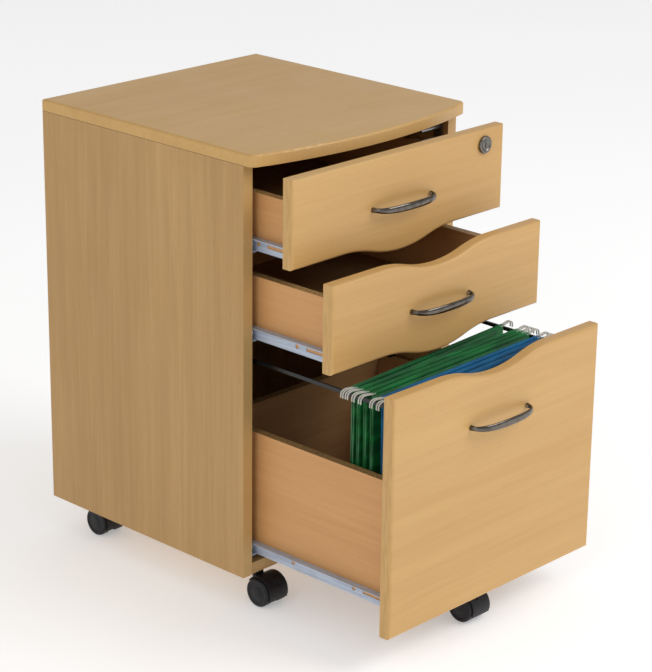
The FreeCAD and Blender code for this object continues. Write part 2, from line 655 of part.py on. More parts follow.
def wave_constraints(sketch, pieces):
    """Tie a waved edge to the sheet: level ends, tangent arcs of one radius, one width."""
    left, fall, middle, rise, right = pieces
    reach = NUMBER["wave_reach"]
    depth = NUMBER["wave_depth"]
    arc_ends = {}
    for arc in (fall, middle, rise):
        begin = sketch.getPoint(arc, 1)
        finish_point = sketch.getPoint(arc, 2)
        arc_ends[arc] = (1, 2) if begin.x < finish_point.x else (2, 1)
    sketch.addConstraint(Sketcher.Constraint("Horizontal", left))
    sketch.addConstraint(Sketcher.Constraint("Horizontal", right))
    chain = [(left, 2, fall, arc_ends[fall][0]),
             (fall, arc_ends[fall][1], middle, arc_ends[middle][0]),
             (middle, arc_ends[middle][1], rise, arc_ends[rise][0]),
             (rise, arc_ends[rise][1], right, 1)]
    for first, first_end, second, second_end in chain:
        sketch.addConstraint(Sketcher.Constraint("Tangent", first, first_end, second, second_end))
    sketch.addConstraint(Sketcher.Constraint("Equal", fall, middle))
    sketch.addConstraint(Sketcher.Constraint("Equal", middle, rise))
    radius = (reach ** 2 + depth ** 2) / (4 * depth)
    size_constraint(sketch, "(wave_reach^2 + wave_depth^2)/(4*wave_depth)", "Radius", middle, radius)
    size_constraint(sketch, "wave_reach", "DistanceX", left, 2, -1, 1, reach)
    size_constraint(sketch, "wave_reach", "DistanceX", -1, 1, right, 1, reach)


def drawer_front(n):
    """A front with rounded outer edges; its lower edge, its upper edge or both carry the wave."""
    body = doc.addObject("PartDesign::Body", f"Front{n}")
    sketch = sketch_on(body, "XZ_Plane")
    half = NUMBER["front_width"] / 2
    height = NUMBER[FRONT_HEIGHT[n]]
    if n == 3:
        low = sketch.addGeometry(Part.LineSegment(FreeCAD.Vector(-half, 0, 0), FreeCAD.Vector(half, 0, 0)))
        low_left, low_right = (low, 1), (low, 2)
    else:
        pieces = wave_edge(sketch, 0)
        wave_constraints(sketch, pieces)
        low_left, low_right = (pieces[0], 1), (pieces[4], 2)
    if n == 1:
        top = sketch.addGeometry(Part.LineSegment(
            FreeCAD.Vector(-half, height, 0), FreeCAD.Vector(half, height, 0)))
        top_left, top_right = (top, 1), (top, 2)
    else:
        pieces = wave_edge(sketch, height)
        wave_constraints(sketch, pieces)
        top_left, top_right = (pieces[0], 1), (pieces[4], 2)
    left = sketch.addGeometry(Part.LineSegment(
        FreeCAD.Vector(-half, 0, 0), FreeCAD.Vector(-half, height, 0)))
    right = sketch.addGeometry(Part.LineSegment(
        FreeCAD.Vector(half, 0, 0), FreeCAD.Vector(half, height, 0)))
    for first, first_end, (second, second_end) in (
            (left, 1, low_left), (left, 2, top_left), (right, 1, low_right), (right, 2, top_right)):
        sketch.addConstraint(Sketcher.Constraint("Coincident", first, first_end, second, second_end))
    sketch.addConstraint(Sketcher.Constraint("Vertical", left))
    sketch.addConstraint(Sketcher.Constraint("Vertical", right))
    sketch.addConstraint(Sketcher.Constraint("PointOnObject", left, 1, -1))
    sketch.addConstraint(Sketcher.Constraint("PointOnObject", right, 1, -1))
    sketch.addConstraint(Sketcher.Constraint("Equal", left, right))
    size_constraint(sketch, FRONT_HEIGHT[n], "Distance", left, height)
    size_constraint(sketch, "front_width/2", "DistanceX", left, 1, -1, 1, half)
    size_constraint(sketch, "front_width/2", "DistanceX", -1, 1, right, 1, half)
    pad = body.newObject("PartDesign::Pad", "Board")
    pad.Profile = sketch
    bind(pad, "Length", "front_thickness")
    thickness = NUMBER["front_thickness"]
    fillet(body, pad, "front_edge_radius", lambda edge: all_at(edge, "y", -thickness))
    locate(body, 0, FRONT_BACK[n], FRONT_LOW[n])
    holes = [bolt_hole(n, way) for way in ("-", "")]
    if n == 1:
        holes.append(rod("Y", "lock_body", "lock_side", f"{FRONT_BACK[1]} - front_thickness - 1",
                         LOCK_HEIGHT, "front_thickness + 2"))
    finish(cut(body, holes), f"drawer_{n}_front")


def handle_height(n):
    """The height of a handle's middle over the floor."""
    drop = "handle_drop_3" if n == 3 else "handle_drop"
    return f"({FRONT_LOW[n]} + {FRONT_HEIGHT[n]} - {drop})"


def bolt_hole(n, way):
    """A handle screw's hole through a front into the handle's foot."""
    x = f"{way}(handle_length/2 - handle_foot/2)"
    y = f"{FRONT_BACK[n]} - front_thickness - bolt_depth"
    return rod("Y", "bolt_radius", x, y, handle_height(n), "front_thickness + bolt_depth")


def handle(n):
    """A bow between two feet, and the two screws that hold it from inside the drawer."""
    body = doc.addObject("PartDesign::Body", f"Handle{n}")
    sketch = sketch_on(body, "XY_Plane")
    half = NUMBER["handle_length"] / 2
    reach = NUMBER["handle_reach"]
    inner_half = half - NUMBER["handle_foot"]
    inner_reach = reach - NUMBER["handle_thickness"]
    outer = sketch.addGeometry(Part.Arc(
        FreeCAD.Vector(-half, 0, 0), FreeCAD.Vector(0, -reach, 0), FreeCAD.Vector(half, 0, 0)))
    inner = sketch.addGeometry(Part.Arc(
        FreeCAD.Vector(-inner_half, 0, 0), FreeCAD.Vector(0, -inner_reach, 0),
        FreeCAD.Vector(inner_half, 0, 0)))
    left = sketch.addGeometry(Part.LineSegment(
        FreeCAD.Vector(-half, 0, 0), FreeCAD.Vector(-inner_half, 0, 0)))
    right = sketch.addGeometry(Part.LineSegment(
        FreeCAD.Vector(inner_half, 0, 0), FreeCAD.Vector(half, 0, 0)))
    for first, first_end, second, second_end in (
            (left, 1, outer, 1), (left, 2, inner, 1), (right, 1, inner, 2), (right, 2, outer, 2)):
        sketch.addConstraint(Sketcher.Constraint("Coincident", first, first_end, second, second_end))
    sketch.addConstraint(Sketcher.Constraint("PointOnObject", left, 1, -1))
    sketch.addConstraint(Sketcher.Constraint("PointOnObject", left, 2, -1))
    sketch.addConstraint(Sketcher.Constraint("Symmetric", left, 1, right, 2, -1, 1))
    sketch.addConstraint(Sketcher.Constraint("Symmetric", left, 2, right, 1, -1, 1))
    size_constraint(sketch, "handle_length", "DistanceX", left, 1, right, 2, 2 * half)
    size_constraint(sketch, "handle_foot", "Distance", left, half - inner_half)
    radius = (half ** 2 + reach ** 2) / (2 * reach)
    size_constraint(sketch, "((handle_length/2)^2 + handle_reach^2)/(2*handle_reach)",
                    "Radius", outer, radius)
    inner_radius = (inner_half ** 2 + inner_reach ** 2) / (2 * inner_reach)
    size_constraint(sketch, "((handle_length/2 - handle_foot)^2 + (handle_reach - handle_thickness)^2)"
                    "/(2*(handle_reach - handle_thickness))", "Radius", inner, inner_radius)
    pad = body.newObject("PartDesign::Pad", "Bow")
    pad.Profile = sketch
    pad.Midplane = True
    bind(pad, "Length", "handle_height")
    fillet(body, pad, "handle_rounding", lambda edge: edge.Curve.TypeId == "Part::GeomCircle")
    locate(body, 0, f"{FRONT_BACK[n]} - front_thickness", handle_height(n))
    finish(cut(body, [bolt_hole(n, way) for way in ("-", "")]), f"handle_{n}")
    screws = []
    for way in ("-", ""):
        x = f"{way}(handle_length/2 - handle_foot/2)"
        head = rod("Y", "bolt_head", x, FRONT_BACK[n], handle_height(n), "bolt_head_height")
        screws.append(join([head, bolt_hole(n, way)]))
    finish(group(screws), f"handle_{n}_screws")


def drawer_box(n):
    """Sides grooved for the bottom sheet, the back that stands on the sheet, and the sheet."""
    ends = (FRONT_BACK[n], BOX_END[n])
    low = BOX_LOW[n]
    sheet_span = (f"{low} + base_rise", f"{low} + base_rise + base_thickness")
    catch = ("X", "catch_radius", f"{BOX_OUT} - catch_depth", f"{FRONT_BACK[n]} + {CATCH_ALONG}",
             f"{low} + catch_rise")
    for side, sign in (("left", -1), ("right", 1)):
        board = block(span(sign, BOX_IN, BOX_OUT), ends, (low, BOX_HIGH[n]))
        tools = [block(span(sign, BOX_IN, f"{BOX_IN} + groove_depth"), ends, sheet_span)]
        if side == "right":
            tools.append(rod(*catch, "catch_depth"))
        finish(cut(board, tools), f"drawer_{n}_{side}_side")
    finish(rod(*catch, "catch_depth + catch_reach"), f"drawer_{n}_catch_pin")
    sheet_half = f"({BOX_IN} + groove_depth)"
    finish(block((f"-{sheet_half}", sheet_half), ends, sheet_span), f"drawer_{n}_bottom")
    back = block((f"-{BOX_IN}", BOX_IN), (f"{BOX_END[n]} - box_side", BOX_END[n]),
                 (sheet_span[1], f"{BOX_HIGH[n]} - back_drop"))
    finish(back, f"drawer_{n}_back")


# ---------------------------------------------------------------- file drawer

def hanging_rails():
    """A rail on each side, from a tab on the front to a post on the box side's upper edge."""
    rails = []
    high = f"({TOP} - rail_drop)"
    for sign in (-1, 1):
        middle = "rail_spacing/2"
        strip = block(span(sign, *centred(middle, "rail_thickness/2")),
                      (FRONT_BACK[3], f"{BOX_END[3]} - rail_post/2"), (f"{high} - rail_height", high))
        tab = block(span(sign, *centred(middle, "2*rail_thickness")),
                    (FRONT_BACK[3], f"{FRONT_BACK[3]} + rail_foot"), (f"{high} - 2*rail_height", high))
        post = block(span(sign, *centred(middle, "rail_thickness/2")),
                     (f"{BOX_END[3]} - 1.5*rail_post", f"{BOX_END[3]} - rail_post/2"), (BOX_HIGH[3], high))
        foot = block(span(sign, BOX_IN, BOX_OUT), (f"{BOX_END[3]} - 2*rail_post", BOX_END[3]),
                     (BOX_HIGH[3], f"{BOX_HIGH[3]} + rail_foot"))
        rails.append(join([strip, tab, post, foot]))
    finish(group(rails), "hanging_rails")



def suspension_files():
    """Closed files that hang on the rails by the hooks of their bars."""
    files = []
    rail = f"({TOP} - rail_drop)"
    seat = f"({rail} + clearance)"
    for place in FILE_PLACES:
        y = (f"{FRONT_BACK[3]} + {place}", f"{FRONT_BACK[3]} + {place} + file_thickness")
        folder = block(centred("0", "file_width/2"), y, (f"{rail} - file_height", seat))
        bar = block(centred("0", "file_bar/2"), y, (seat, f"{seat} + file_bar_height"))
        pieces = [folder, bar]
        for sign in (-1, 1):
            pieces.append(block(span(sign, "file_bar/2 - file_hook", "file_bar/2"), y,
                                (f"{rail} - 0.8*rail_height", seat)))
        files.append(join(pieces))
    finish(group(files), "suspension_files")


# ---------------------------------------------------------------- castors

def stem(x, y):
    """A stem with its flange and threaded end."""
    top = FLOOR_OF_CARCASS
    shank = rod("Z", "stem_radius", x, y, f"{top} - stem_flange_height - stem_sink", "stem_sink")
    flange = rod("Z", "stem_flange", x, y, f"{top} - stem_flange_height", "stem_flange_height")
    bolt = rod("Z", "stem_bolt", x, y, top, "stem_bolt_length")
    return join([shank, flange, bolt])


def castor_mount():
    """The fifth castor's bracket behind the file drawer's front, with the stem in it."""
    front = FRONT_BACK[3]
    low = FLOOR_OF_CARCASS
    high = f"{BOX_LOW[3]} + base_rise"
    depth = (front, f"{front} + bracket_depth")
    plate = block(centred("0", "bracket_half"), depth, (low, f"{low} + bracket_plate"))
    upright = block(centred("0", "bracket_half"), (front, f"{front} + bracket_plate"), (low, high))
    pieces = [plate, upright]
    for sign in (-1, 1):
        pieces.append(block(span(sign, "bracket_half - bracket_plate", "bracket_half"), depth, (low, high)))
    x, y = "0", f"{front} + bracket_stem"
    hole = rod("Z", "stem_bolt", x, y, low, "bracket_plate")
    bracket = cut(join(pieces), [hole])
    finish(group([bracket, stem(x, y)]), "castor_5_mount")


def castor(n, x, y):
    """A hood that turns on the stem, its axle, and two wheels in front of the stem."""
    axle_y = f"({y} - trail)"
    axle_z = "wheel_radius"
    outer = "wheel_radius + hood_gap + hood_wall"
    inner = "wheel_radius + hood_gap"
    tube = rod("X", outer, f"{x} - hood_half", axle_y, axle_z, "2*hood_half")
    hollow = rod("X", inner, f"{x} - hood_half - 1", axle_y, axle_z, "2*hood_half + 2")
    wide = centred(x, "hood_half + 1")
    below = block(wide, centred(axle_y, "2*wheel_radius"), ("-10", "hood_skirt"))
    behind = block(wide, (f"{axle_y} + wheel_radius/2", f"{axle_y} + 2*wheel_radius"),
                   ("-10", "1.6*wheel_radius"))
    shell = cut(tube, [hollow, below, behind])
    disc = rod("X", outer, f"{x} - web_half", axle_y, axle_z, "2*web_half")
    web = cut(disc, [block(wide, centred(axle_y, "2*wheel_radius"), ("-10", "hood_skirt - 3"))])
    boss_low = "castor_height - stem_flange_height - stem_sink - 3"
    boss = rod("Z", "web_half", x, y, boss_low,
               f"castor_height - stem_flange_height - clearance - ({boss_low})")
    stem_bore = rod("Z", "stem_radius + running_fit", x, y,
                    "castor_height - stem_flange_height - stem_sink - clearance", "2*stem_sink")
    axle_bore = rod("X", "axle_radius", f"{x} - web_half - 1", axle_y, axle_z, "2*web_half + 2")
    hood = cut(join([shell, web, boss]), [stem_bore, axle_bore])
    axle = rod("X", "axle_radius", f"{x} - axle_half", axle_y, axle_z, "2*axle_half")
    finish(group([hood, axle]), f"castor_{n}_hood")
    wheels = []
    for sign in (-1, 1):
        tread_length = "wheel_outer - wheel_inner - wheel_bevel"
        rim = "wheel_radius - wheel_bevel"
        bore_length = "axle_half - wheel_inner + clearance"
        if sign > 0:
            tread = rod("X", "wheel_radius", f"{x} + wheel_inner", axle_y, axle_z, tread_length)
            cap = cone("X", "wheel_radius", rim, f"{x} + wheel_outer - wheel_bevel", axle_y, axle_z,
                       "wheel_bevel")
            bore = rod("X", "axle_radius + running_fit", f"{x} + wheel_inner", axle_y, axle_z, bore_length)
        else:
            tread = rod("X", "wheel_radius", f"{x} - wheel_outer + wheel_bevel", axle_y, axle_z,
                        tread_length)
            cap = cone("X", rim, "wheel_radius", f"{x} - wheel_outer", axle_y, axle_z, "wheel_bevel")
            bore = rod("X", "axle_radius + running_fit", f"{x} - axle_half - clearance", axle_y, axle_z,
                       bore_length)
        wheels.append(cut(join([tread, cap]), [bore]))
    finish(group(wheels), f"castor_{n}_wheels")


def castors():
    stems = []
    for n, (x, y) in castor_places().items():
        stems.append(stem(x, y))
        castor(n, x, y)
    finish(group(stems), "castor_stems")
    castor_mount()
    castor(5, "0", f"({FRONT_BACK[3]} + bracket_stem)")


def check_and_write():
    """Stop if any object failed, then write each sub-part to its own file."""
    doc.recompute()
    for item in doc.Objects:
        if "Invalid" in item.State or "Error" in item.State:
            raise RuntimeError(f"{item.Name} ({item.Label}) failed: {item.State}")
    labels = [item.Label for item in finished]
    if len(labels) != len(set(labels)):
        raise RuntimeError("two sub-parts share a name")
    for item in finished:
        if item.Shape.isNull() or not item.Shape.isValid() or not item.Shape.Solids:
            raise RuntimeError(f"{item.Label} has no valid solid")
    os.makedirs("parts", exist_ok=True)
    for item in finished:
        item.Shape.exportStep(os.path.join("parts", item.Label + ".step"))
    print(len(finished), "sub-parts written")


top_panel()
bottom_panel(side_panels())
back_panel()
runners()
lock_bar()
drawer_lock()
for number in (1, 2, 3):
    drawer_front(number)
    drawer_box(number)
    handle(number)
hanging_rails()
suspension_files()
castors()
check_and_write()
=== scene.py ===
"""Three-drawer mobile pedestal: its looks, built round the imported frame.

Metres, +Z up, the drawer fronts face -Y. Board, steel and screws are the frame's own nodes with
procedural materials; handles, lock rim, castors and suspension files are new pieces.
"""

import bmesh
import bpy
import numpy as np
from mathutils import Matrix, Vector


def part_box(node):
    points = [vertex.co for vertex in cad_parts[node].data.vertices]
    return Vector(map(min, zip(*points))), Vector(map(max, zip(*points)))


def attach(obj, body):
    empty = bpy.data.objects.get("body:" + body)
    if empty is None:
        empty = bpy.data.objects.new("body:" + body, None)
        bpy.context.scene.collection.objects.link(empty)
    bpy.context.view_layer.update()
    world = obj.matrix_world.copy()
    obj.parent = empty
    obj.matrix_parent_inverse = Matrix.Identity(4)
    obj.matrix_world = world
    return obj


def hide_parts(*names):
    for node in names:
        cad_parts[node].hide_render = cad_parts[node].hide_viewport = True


bl_info = {
    "name": "Mobile pedestal",
    "version": (1, 0, 0),
    "blender": (4, 5, 0),
    "location": "3D View > Sidebar > Pedestal",
    "description": "Looks of a three-drawer mobile pedestal built round its frame",
    "category": "Object",
}

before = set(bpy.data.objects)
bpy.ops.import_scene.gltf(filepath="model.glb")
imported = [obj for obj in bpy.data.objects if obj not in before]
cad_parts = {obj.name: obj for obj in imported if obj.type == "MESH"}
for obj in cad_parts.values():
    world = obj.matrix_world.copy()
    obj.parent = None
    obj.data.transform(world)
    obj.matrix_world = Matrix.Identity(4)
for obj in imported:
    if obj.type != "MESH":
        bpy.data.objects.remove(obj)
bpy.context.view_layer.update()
MM = 0.001
DRAWERS = (1, 2, 3)
CASTORS = (1, 2, 3, 4, 5)


def linear(code):
    """Linear RGB of an sRGB hex code: v/12.92 up to 0.04045, ((v + 0.055)/1.055)^2.4 above."""
    value = np.array([int(code[n:n + 2], 16) / 255 for n in (1, 3, 5)])
    return tuple(np.where(value <= 0.04045, value / 12.92, ((value + 0.055) / 1.055) ** 2.4))


# ---------------------------------------------------------------- surfaces

def grid(points, around=False, closed=False):
    """Vertices and quads of a (rows, columns, 3) array; around joins the last column to the first,
    closed the last row to the first, and rows left open that run round get a cap at each end."""
    rows, columns = points.shape[:2]
    number = np.arange(rows * columns).reshape(rows, columns)
    if closed:
        number = np.vstack([number, number[:1]])
    if around:
        number = np.hstack([number, number[:, :1]])
    faces = np.stack([number[:-1, :-1], number[:-1, 1:], number[1:, 1:], number[1:, :-1]], -1)
    faces = faces.reshape(-1, 4).tolist()
    if around and not closed:
        faces += [number[0, :-1][::-1].tolist(), number[-1, :-1].tolist()]
    return points.reshape(-1, 3), faces


def sweep(path, side, half_side, half_up, power=2.0, steps=24):
    """A superellipse carried along a path: point = path + side * half_side * |cos v|^(2/power)
    + up * half_up * |sin v|^(2/power), where up is square to side and the path's tangent."""
    path = np.asarray(path, float)
    side = np.asarray(side, float)
    tangent = np.gradient(path, axis=0)
    up = np.cross(np.broadcast_to(side, path.shape), tangent)
    up /= np.linalg.norm(up, axis=1)[:, None]
    angle = np.linspace(0, 2 * np.pi, steps, endpoint=False)
    cos = np.sign(np.cos(angle)) * np.abs(np.cos(angle)) ** (2 / power)
    sin = np.sign(np.sin(angle)) * np.abs(np.sin(angle)) ** (2 / power)
    wide = np.broadcast_to(half_side, len(path))[:, None, None] * cos[None, :, None]
    tall = np.broadcast_to(half_up, len(path))[:, None, None] * sin[None, :, None]
    return grid(path[:, None, :] + wide * side + tall * up[:, None, :], around=True)


def lathe(profile, centre, axis, steps=72):
    """A closed profile of (distance along the axis, radius) pairs turned about the axis:
    point = centre + axis * distance + radius * (cos v, sin v) across it."""
    profile = np.asarray(profile, float)
    first, second = {"X": ((0, 1, 0), (0, 0, 1)), "Y": ((0, 0, 1), (1, 0, 0))}[axis]
    along = {"X": (1, 0, 0), "Y": (0, 1, 0)}[axis]
    angle = np.linspace(0, 2 * np.pi, steps, endpoint=False)
    ring = np.cos(angle)[:, None] * np.array(first) + np.sin(angle)[:, None] * np.array(second)
    points = (np.array(centre) + profile[:, None, :1] * np.array(along)
              + profile[:, None, 1:] * ring[None])
    return grid(points, around=True, closed=True)


def arch(centre, half, inner, outer, start, end, power=6.0, steps=48):
    """A rounded bar bent round an X axis: at each angle t from start to end the section is a
    superellipse of half width half in X and from radius inner to outer."""
    angle = np.radians(np.linspace(start, end, steps))
    middle = (inner + outer) / 2
    path = np.stack([np.full(steps, centre[0]), centre[1] + middle * np.cos(angle),
                     centre[2] + middle * np.sin(angle)], -1)
    return sweep(path, (1, 0, 0), half, (outer - inner) / 2, power, 28)


def smooth_path(points, steps):
    """Evenly spaced points along a polyline, evened out by a moving average of five."""
    points = np.asarray(points, float)
    length = np.concatenate([[0], np.cumsum(np.linalg.norm(np.diff(points, axis=0), axis=1))])
    even = np.linspace(0, length[-1], steps)
    path = np.stack([np.interp(even, length, points[:, n]) for n in range(3)], -1)
    padded = np.vstack([np.repeat(path[:1], 2, 0), path, np.repeat(path[-1:], 2, 0)])
    evened = sum(padded[n:n + steps] for n in range(5)) / 5
    evened[0], evened[-1] = path[0], path[-1]
    return evened


def build(name, surfaces, material, sharp=40):
    """One object from several (vertices, faces) surfaces, seams and poles merged."""
    vertices, faces, start = [], [], 0
    for points, quads in surfaces:
        vertices.append(points)
        faces += [[corner + start for corner in quad] for quad in quads]
        start += len(points)
    mesh = bpy.data.meshes.new(name)
    mesh.from_pydata(np.concatenate(vertices).tolist(), [], faces)
    whole = bmesh.new()
    whole.from_mesh(mesh)
    bmesh.ops.remove_doubles(whole, verts=whole.verts, dist=2e-6)
    bmesh.ops.recalc_face_normals(whole, faces=whole.faces)
    whole.to_mesh(mesh)
    whole.free()
    mesh.shade_smooth()
    mesh.set_sharp_from_angle(angle=np.radians(sharp))
    mesh.materials.append(material)
    piece = bpy.data.objects.new(name, mesh)
    bpy.context.scene.collection.objects.link(piece)
    return piece


# ---------------------------------------------------------------- shader nodes

def add(tree, kind, sockets=None, **settings):
    """One shader node; sockets maps an input's name or number to a constant or an output."""
    made = tree.nodes.new("ShaderNode" + kind)
    for key, value in settings.items():
        setattr(made, key, value)
    for key, value in (sockets or {}).items():
        if isinstance(value, bpy.types.NodeSocket):
            tree.links.new(value, made.inputs[key])
        else:
            made.inputs[key].default_value = value
    return made


def start_material(name, **constants):
    """A material with one Principled shader; constants are set on the shader's own sockets."""
    material = bpy.data.materials.new(name)
    material.use_nodes = True
    tree = material.node_tree
    tree.nodes.clear()
    sockets = {key.replace("_", " "): value for key, value in constants.items()}
    shader = add(tree, "BsdfPrincipled", sockets)
    output = add(tree, "OutputMaterial")
    tree.links.new(shader.outputs["BSDF"], output.inputs["Surface"])
    place = add(tree, "TexCoord").outputs["Object"]
    return material, tree, shader, place


def calc(tree, operation, *values):
    return add(tree, "Math", dict(enumerate(values)), operation=operation).outputs[0]


def scaled(tree, vector, factors):
    return add(tree, "VectorMath", {0: vector, 1: factors}, operation="MULTIPLY").outputs[0]


def noise(tree, vector, scale, detail=3.0, distortion=0.0):
    """Fractal noise about 0.5; the features are about 1/scale metres across."""
    return add(tree, "TexNoise", {"Vector": vector, "Scale": scale, "Detail": detail,
                                  "Distortion": distortion}).outputs[0]


def spread(tree, value, low, high, first=0.0, last=1.0):
    """value from low to high, mapped smoothly to first to last."""
    return add(tree, "MapRange", {"Value": value, "From Min": low, "From Max": high, "To Min": first,
                                  "To Max": last}, interpolation_type="SMOOTHSTEP").outputs[0]


def mixed(tree, factor, first, second, mode="MIX"):
    """The colours first and second mixed; colours are hex codes, linear settings or outputs."""
    def socket_value(one):
        if isinstance(one, bpy.types.NodeSocket):
            return one
        return (*(linear(one) if isinstance(one, str) else one), 1)

    first, second = socket_value(first), socket_value(second)
    return add(tree, "Mix", {0: factor, 6: first, 7: second}, data_type="RGBA",
               blend_type=mode).outputs[2]


def axis_of(tree, vector, axis):
    return add(tree, "SeparateXYZ", {0: vector}).outputs["XYZ".index(axis)]


def connect(tree, shader, colour, rough, height, distance):
    """Links the patterns into colour, roughness and a bump whose full height is distance."""
    tree.links.new(colour, shader.inputs["Base Color"])
    tree.links.new(rough, shader.inputs["Roughness"])
    bump = add(tree, "Bump", {"Strength": 1.0, "Distance": distance, "Height": height})
    tree.links.new(bump.outputs[0], shader.inputs["Normal"])


def board(name, along, pale, deep, edge=None, edge_axis="Z", gloss=0.36, seam_shade_height=None, contrast=1.0):
    """Beech-effect foil or melamine: a printed grain pressed on chipboard under a satin coat.

    Broad plank tones, 15 mm growth rings, 2 mm fibres and the short dark flecks of beech all run
    along one axis. Faces that look along edge_axis carry the edge band's own colour, crossed by
    the fine lines of its print. Just under the seam height given, where the top sits on the panel, the last
    millimetre is darkened with painted shade of the joint's shadow gap.
    """
    material, tree, shader, place = start_material(name, IOR=1.46)

    def lengthwise(stretch):
        factors = [1.0, 1.0, 1.0]
        factors["XYZ".index(along)] = 1 / stretch
        return scaled(tree, place, factors)

    plank = noise(tree, lengthwise(7), 6.5, 2.0)
    rings = noise(tree, lengthwise(16), 62, 2.5, 0.5)
    lines = noise(tree, lengthwise(38), 250, 3.0)
    fibres = noise(tree, lengthwise(30), 900, 2.0)
    flecks = spread(tree, noise(tree, lengthwise(7), 720, 1.0), 0.60, 0.72)
    cathedral = add(tree, "TexWave", {"Vector": lengthwise(6), "Scale": 5.5, "Distortion": 7.0,
                                      "Detail": 2.0, "Detail Scale": 1.3, "Detail Roughness": 0.5},
                    wave_type="BANDS", bands_direction="Z" if along == "X" else "Y").outputs[1]
    tone = calc(tree, "ADD", calc(tree, "MULTIPLY", spread(tree, plank, 0.3, 0.7), 0.30),
                calc(tree, "MULTIPLY", spread(tree, rings, 0.3, 0.7), 0.28))
    tone = calc(tree, "ADD", tone, calc(tree, "MULTIPLY", spread(tree, lines, 0.3, 0.7), 0.24))
    tone = calc(tree, "ADD", tone, calc(tree, "MULTIPLY", fibres, 0.10))
    tone = calc(tree, "ADD", tone, calc(tree, "MULTIPLY", cathedral, 0.08))
    tone = calc(tree, "ADD", 0.5 - 0.5 * contrast, calc(tree, "MULTIPLY", tone, contrast))
    colour = mixed(tree, tone, deep, pale)
    colour = mixed(tree, calc(tree, "MULTIPLY", flecks, 0.30), colour, deep)
    if edge:
        normal = add(tree, "NewGeometry").outputs["Normal"]
        facing = spread(tree, calc(tree, "ABSOLUTE", axis_of(tree, normal, edge_axis)), 0.75, 0.9)
        crossed = scaled(tree, place, (1.0, 1.0, 0.12))
        band = mixed(tree, spread(tree, noise(tree, crossed, 330, 3.0), 0.35, 0.65), edge, pale)
        band = mixed(tree, 0.5, band, edge)
        colour = mixed(tree, facing, colour, band)
    if seam_shade_height:
        # painted shade of the joint under the top: the panel's last millimetre below it darkens towards #2A1C10
        seam_painted_shade = spread(tree, axis_of(tree, place, "Z"), seam_shade_height - 0.9 * MM, seam_shade_height - 0.3 * MM)
        colour = mixed(tree, calc(tree, "MULTIPLY", seam_painted_shade, 0.8), colour, "#2A1C10")
    rubbed = spread(tree, noise(tree, place, 9, 3.0), 0.35, 0.75, gloss - 0.04, gloss + 0.06)
    rough = calc(tree, "ADD", rubbed, calc(tree, "MULTIPLY", fibres, 0.06))
    height = calc(tree, "ADD", calc(tree, "MULTIPLY", fibres, 0.4), calc(tree, "MULTIPLY", lines, 0.6))
    connect(tree, shader, colour, rough, height, 0.03 * MM)
    return material


def coated_steel():
    """Roll-formed steel with a pale epoxy powder coat: orange peel of 1 mm, rubbed along Y."""
    material, tree, shader, place = start_material("epoxy_coated_steel", IOR=1.5)
    peel = noise(tree, place, 1100, 2.0)
    rub = noise(tree, scaled(tree, place, (1, 0.03, 1)), 500, 2.0)
    colour = mixed(tree, spread(tree, rub, 0.35, 0.7), "#B9C3D2", "#A2ADBE")
    colour = mixed(tree, calc(tree, "MULTIPLY", spread(tree, noise(tree, place, 45, 3.0), 0.55, 0.8), 0.5),
                   colour, "#8E97A6")
    rough = spread(tree, rub, 0.3, 0.7, 0.30, 0.44)
    connect(tree, shader, colour, rough, peel, 0.05 * MM)
    return material


def nylon():
    """Injection-moulded natural nylon, slightly matt, with grease-darkened patches."""
    material, tree, shader, place = start_material("moulded_nylon", IOR=1.53)
    grain = noise(tree, place, 1500, 2.0)
    colour = mixed(tree, spread(tree, noise(tree, place, 160, 3.0), 0.45, 0.75), "#DEDFDB", "#B4B6B6")
    connect(tree, shader, colour, spread(tree, grain, 0.3, 0.7, 0.38, 0.5), grain, 0.03 * MM)
    return material


def zinc():
    """Zinc-plated steel: 2 mm spangle, bright but not polished, drawn marks along Y."""
    material, tree, shader, place = start_material("zinc_plated_steel", Metallic=1.0)
    spangle = add(tree, "TexVoronoi", {"Vector": place, "Scale": 480}).outputs["Color"]
    drawn = noise(tree, scaled(tree, place, (1, 0.05, 1)), 1400, 2.0)
    colour = mixed(tree, calc(tree, "MULTIPLY", axis_of(tree, spangle, "X"), 0.5), "#AEB1B6", "#84878D")
    connect(tree, shader, colour, spread(tree, drawn, 0.3, 0.7, 0.24, 0.42), drawn, 0.02 * MM)
    return material


def black_steel():
    """Black stove enamel on steel: faint orange peel and dusty patches."""
    material, tree, shader, place = start_material("black_enamelled_steel", IOR=1.5)
    peel = noise(tree, place, 900, 2.0)
    dust = spread(tree, noise(tree, place, 60, 4.0), 0.5, 0.8)
    colour = mixed(tree, dust, "#111214", "#1E1F22")
    connect(tree, shader, colour, spread(tree, dust, 0, 1, 0.28, 0.45), peel, 0.04 * MM)
    return material


def dark_chrome():
    """Black chrome over a polished casting: nearly mirror bright, with fine wiping smears."""
    material, tree, shader, place = start_material("polished_black_chrome", Metallic=1.0)
    smear = noise(tree, scaled(tree, place, (0.12, 1, 1)), 700, 3.0)
    patches = noise(tree, place, 90, 3.0)
    colour = mixed(tree, spread(tree, patches, 0.35, 0.7), "#6F6963", "#57514B")
    rough = calc(tree, "ADD", spread(tree, smear, 0.35, 0.75, 0.05, 0.12),
                 spread(tree, patches, 0.4, 0.8, 0.0, 0.05))
    connect(tree, shader, colour, rough, smear, 0.004 * MM)
    return material


